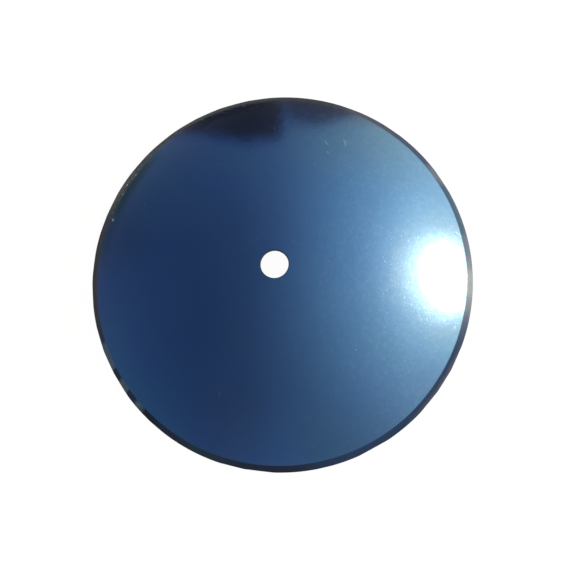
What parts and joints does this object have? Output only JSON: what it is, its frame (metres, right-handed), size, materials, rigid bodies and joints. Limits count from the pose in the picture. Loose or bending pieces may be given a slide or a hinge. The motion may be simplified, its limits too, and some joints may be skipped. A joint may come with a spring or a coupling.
{
  "type": "harrow disc blade",
  "caption": "Plain round harrow disc blade: a dished steel sheet with a round centre hole and a cutting edge bevelled on the domed face.",
  "frame": {"origin": "centre of the rim's plane, on the axis of the centre hole, on the surface that the blade lies on", "axes": "+Z along the axis of the centre hole, from the hollow face towards the domed face; X and Y are any two diameters"},
  "size_m": [0.61, 0.61, 0.0946],
  "materials": {
    "blued_steel": "glossy dark blue lacquer over steel, with a darker ground bevel"
  },
  "bodies": {
    "root": {"disc_blade": "blued_steel"}
  },
  "joints": []
}
